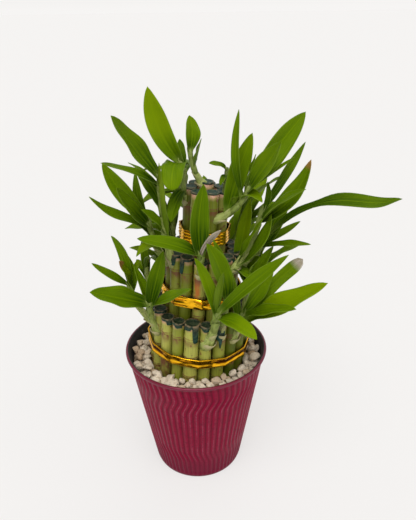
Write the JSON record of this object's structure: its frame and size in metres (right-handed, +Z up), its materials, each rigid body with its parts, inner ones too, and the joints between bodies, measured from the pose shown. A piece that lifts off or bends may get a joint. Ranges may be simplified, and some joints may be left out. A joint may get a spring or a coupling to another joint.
{
  "type": "lucky bamboo in a pot",
  "caption": "Three-tier tower of cut lucky bamboo canes with leafy shoots, bound with gold foil ties, in a ribbed dark red pot of white pebbles.",
  "frame": {"origin": "centre of the pot's flat underside", "axes": "+Z up, -Y towards the front of the plant, +X to the right; the tower of canes leans about 4 degrees towards +X"},
  "size_m": [0.2601, 0.1881, 0.3835],
  "materials": {
    "pot_enamel": "satin wine-red enamel over pressed wavy ribs, black inside",
    "pebbles": "matt off-white and beige pebbles",
    "gold_foil": "bright creased gold foil band",
    "stalks": "living canes and leaves, yellow-green to deep green, faintly glossy"
  },
  "bodies": {
    "root": {"pot": "pot_enamel", "pebble_bed": "pebbles", "tie_lower": "gold_foil", "tie_middle": "gold_foil", "tie_upper": "gold_foil", "stalk_outer_01": "stalks", "stalk_outer_02": "stalks", "stalk_outer_03": "stalks", "stalk_outer_04": "stalks", "stalk_outer_05": "stalks", "stalk_outer_06": "stalks", "stalk_outer_07": "stalks", "stalk_outer_08": "stalks", "stalk_outer_09": "stalks", "stalk_outer_10": "stalks", "stalk_outer_11": "stalks", "stalk_outer_12": "stalks", "stalk_outer_13": "stalks", "stalk_outer_14": "stalks", "stalk_outer_15": "stalks", "stalk_outer_16": "stalks", "stalk_outer_17": "stalks", "stalk_outer_18": "stalks", "stalk_outer_19": "stalks", "stalk_outer_20": "stalks", "stalk_middle_01": "stalks", "stalk_middle_02": "stalks", "stalk_middle_03": "stalks", "stalk_middle_04": "stalks", "stalk_middle_05": "stalks", "stalk_middle_06": "stalks", "stalk_middle_07": "stalks", "stalk_middle_08": "stalks", "stalk_middle_09": "stalks", "stalk_middle_10": "stalks", "stalk_middle_11": "stalks", "stalk_middle_12": "stalks", "stalk_middle_13": "stalks", "stalk_middle_14": "stalks", "stalk_inner_01": "stalks", "stalk_inner_02": "stalks", "stalk_inner_03": "stalks", "stalk_inner_04": "stalks", "stalk_inner_05": "stalks", "stalk_inner_06": "stalks", "stalk_inner_07": "stalks", "stalk_centre": "stalks"}
  },
  "joints": []
}
